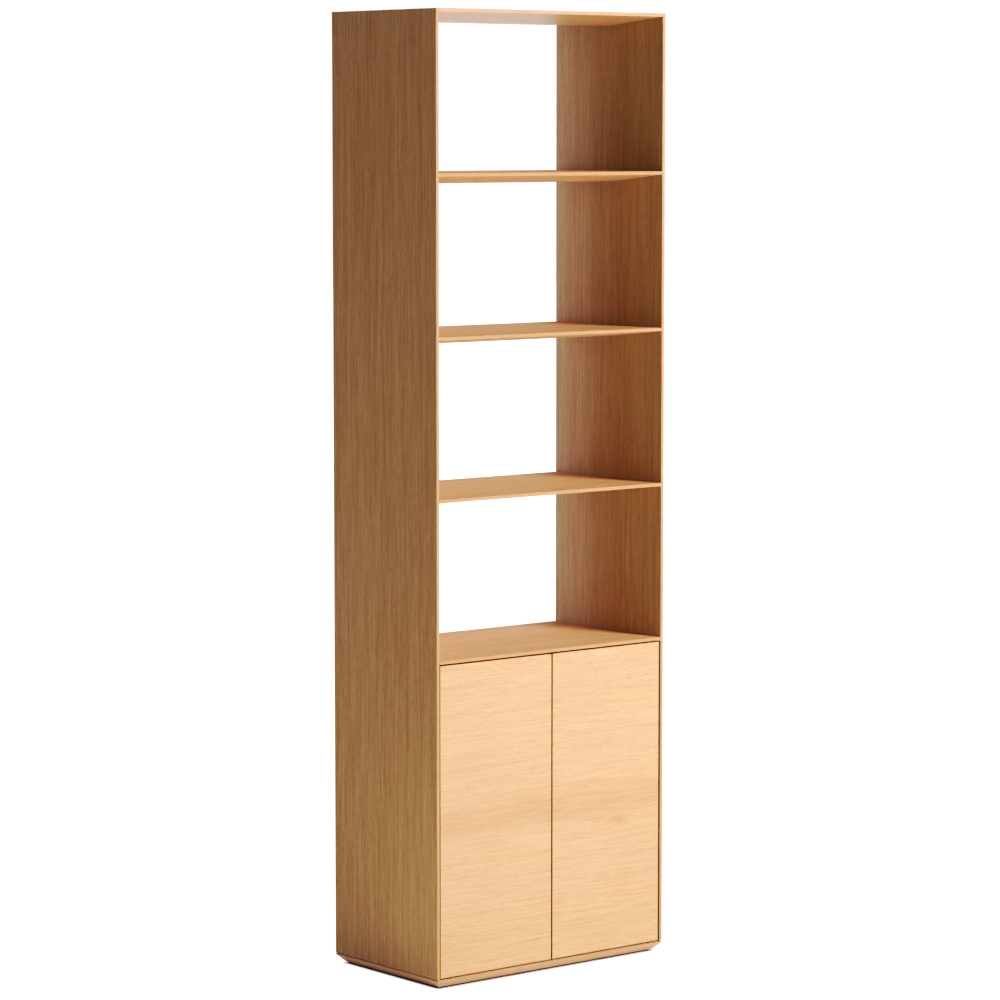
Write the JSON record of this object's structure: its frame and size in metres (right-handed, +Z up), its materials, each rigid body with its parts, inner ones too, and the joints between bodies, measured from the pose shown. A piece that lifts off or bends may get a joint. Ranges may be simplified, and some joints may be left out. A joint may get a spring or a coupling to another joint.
{
  "type": "bookcase with cabinet doors",
  "caption": "Tall free-standing bookcase in oak veneer: open bays with thin-edged tapered shelves above a cabinet with inset, handle-less push-to-open doors.",
  "frame": {"origin": "on the floor, at the middle of the footprint", "axes": "+Z up, -Y towards the front where the doors are, +X to the right seen from the front"},
  "size_m": [0.67, 0.38, 2.1825],
  "materials": {
    "oak": "satin oak veneer",
    "oak_door": "satin oak veneer",
    "dark_oak": "dark stained oak",
    "back_board": "satin oak veneer",
    "beech": "bare beech",
    "steel": "zinc plated",
    "black_steel": "black oxide",
    "nylon": "satin",
    "black_nylon": "satin",
    "foot_plastic": "matt"
  },
  "bodies": {
    "carcass": {"left_side_panel": "oak", "right_side_panel": "oak", "top_panel": "oak", "upper_shelf": "oak", "middle_shelf": "oak", "lower_shelf": "oak", "cabinet_top": "oak", "base_board": "oak", "inner_shelf": "oak", "door_stop_rail": "dark_oak", "cabinet_back_panel": "back_board", "mitre_splines": "beech", "shelf_dowels": "beech", "base_dowels": "beech", "inner_shelf_pins": "steel", "foot_pins": "steel", "left_latch_spring": "steel", "right_latch_spring": "steel", "left_lower_pivot_bracket": "black_steel", "left_upper_pivot_bracket": "black_steel", "right_lower_pivot_bracket": "black_steel", "right_upper_pivot_bracket": "black_steel", "pivot_bracket_screws": "black_steel", "pivot_pins": "black_steel", "left_latch_body": "nylon", "right_latch_body": "nylon", "left_front_foot": "foot_plastic", "left_back_foot": "foot_plastic", "right_front_foot": "foot_plastic", "right_back_foot": "foot_plastic"},
    "left_door": {"left_door": "oak_door", "left_pivot_bushes": "black_nylon", "left_strike_plate": "steel"},
    "right_door": {"right_door": "oak_door", "right_pivot_bushes": "black_nylon", "right_strike_plate": "steel"},
    "left_latch_plunger": {"left_latch_plunger": "nylon"},
    "right_latch_plunger": {"right_latch_plunger": "nylon"}
  },
  "joints": [
    {"name": "left_door_hinge", "type": "hinge", "parent": "carcass", "child": "left_door", "pos_m": [-0.29628, -0.18, 0.3785], "axis": [0, 0, -1], "range_deg": [0, 110]},
    {"name": "left_latch_press", "type": "slide", "parent": "carcass", "child": "left_latch_plunger", "axis": [0, 1, 0], "range_m": [0, 0.003], "stiffness_N_per_m": 600, "springref_m": -0.004, "deforming": ["left_latch_spring"]},
    {"name": "right_door_hinge", "type": "hinge", "parent": "carcass", "child": "right_door", "pos_m": [0.29628, -0.18, 0.3785], "axis": [0, 0, 1], "range_deg": [0, 110]},
    {"name": "right_latch_press", "type": "slide", "parent": "carcass", "child": "right_latch_plunger", "axis": [0, 1, 0], "range_m": [0, 0.003], "stiffness_N_per_m": 600, "springref_m": -0.004, "deforming": ["right_latch_spring"]}
  ]
}
